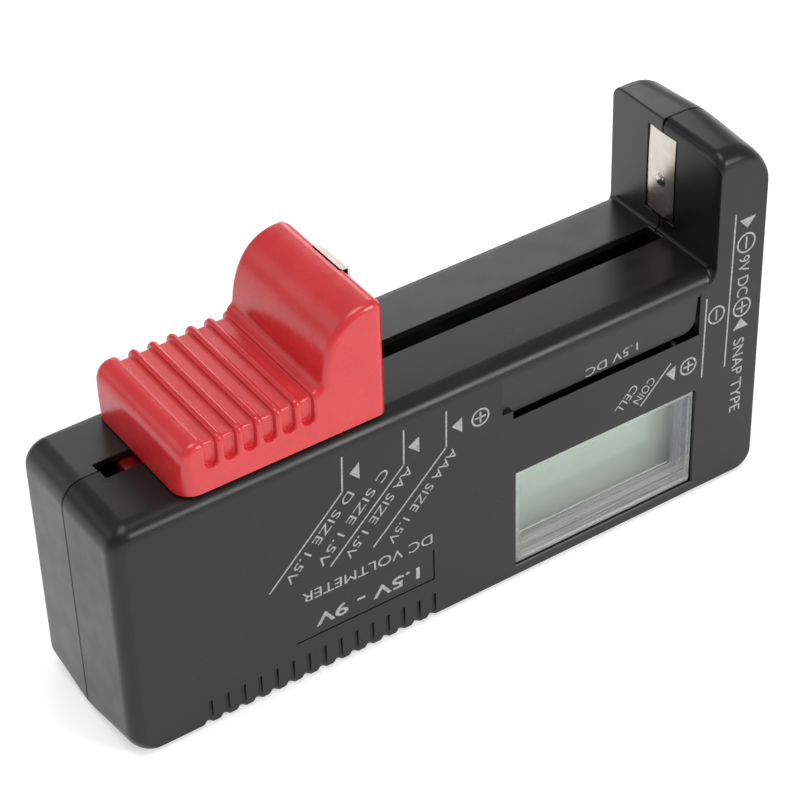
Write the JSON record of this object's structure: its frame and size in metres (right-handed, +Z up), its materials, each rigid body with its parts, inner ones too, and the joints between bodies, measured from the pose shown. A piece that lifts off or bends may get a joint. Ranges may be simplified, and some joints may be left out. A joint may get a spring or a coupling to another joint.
{
  "type": "battery tester",
  "caption": "Pocket battery tester: two-shell L-shaped case, sliding clamp on a slotted rail, contact post, small display window and snap-battery contacts on the end.",
  "frame": {"origin": "centre of the box's bottom face, on the surface that the tester stands on with its long edge down", "axes": "+X along the case towards the contact post, -Y out of the face with the display, +Z up through the rail and the post"},
  "size_m": [0.11, 0.025, 0.06],
  "materials": {
    "black_plastic": "satin moulded ABS",
    "red_plastic": "glossy moulded ABS",
    "nickel": "nickel-plated sheet, slightly satin",
    "spring_bronze": "plain spring strip",
    "screw_steel": "zinc-plated",
    "clear_acrylic": "polished clear moulding",
    "display_glass": "unlit liquid-crystal panel",
    "display_backing": "matt reflector film",
    "white_plastic": "plain moulding",
    "zebra_rubber": "layered conductive rubber",
    "circuit_board": "green solder mask",
    "epoxy": "cured black epoxy drop",
    "ferrite": "sintered, matt",
    "capacitor_sleeve": "shrink sleeve",
    "resistor_body": "painted ceramic",
    "diode_body": "moulded",
    "wire_black": "soft PVC insulation",
    "wire_red": "soft PVC insulation"
  },
  "bodies": {
    "case": {"front_shell": "black_plastic", "rear_shell": "black_plastic", "case_screw_1": "screw_steel", "case_screw_2": "screw_steel", "case_screw_3": "screw_steel", "case_screw_4": "screw_steel", "board_screw_1": "screw_steel", "board_screw_2": "screw_steel", "post_contact": "nickel", "nine_volt_contact_negative": "nickel", "nine_volt_contact_positive": "nickel", "contact_rail": "nickel", "mini_cell_contact_positive": "nickel", "mini_cell_contact_negative": "nickel", "display_window": "clear_acrylic", "lcd_panel": "display_glass", "lcd_reflector": "display_backing", "lcd_frame": "white_plastic", "zebra_strip": "zebra_rubber", "main_board": "circuit_board", "chip_blob": "epoxy", "inductor": "ferrite", "capacitor": "capacitor_sleeve", "load_resistor_1v5": "resistor_body", "load_resistor_9v": "resistor_body", "series_resistor": "resistor_body", "diode": "diode_body", "wire_post_contact": "wire_black", "wire_nine_volt_negative": "wire_black", "wire_nine_volt_positive": "wire_red", "wire_contact_rail": "wire_red", "wire_mini_cell_positive": "wire_red", "wire_mini_cell_negative": "wire_black"},
    "slider": {"slider": "red_plastic", "slider_keeper": "red_plastic", "keeper_screw_1": "screw_steel", "keeper_screw_2": "screw_steel", "slider_contact": "nickel", "slider_wiper": "spring_bronze"}
  },
  "joints": [
    {"name": "slider_slide", "type": "slide", "parent": "case", "child": "slider", "axis": [1, 0, 0], "range_m": [-0.0065, 0.055]}
  ]
}
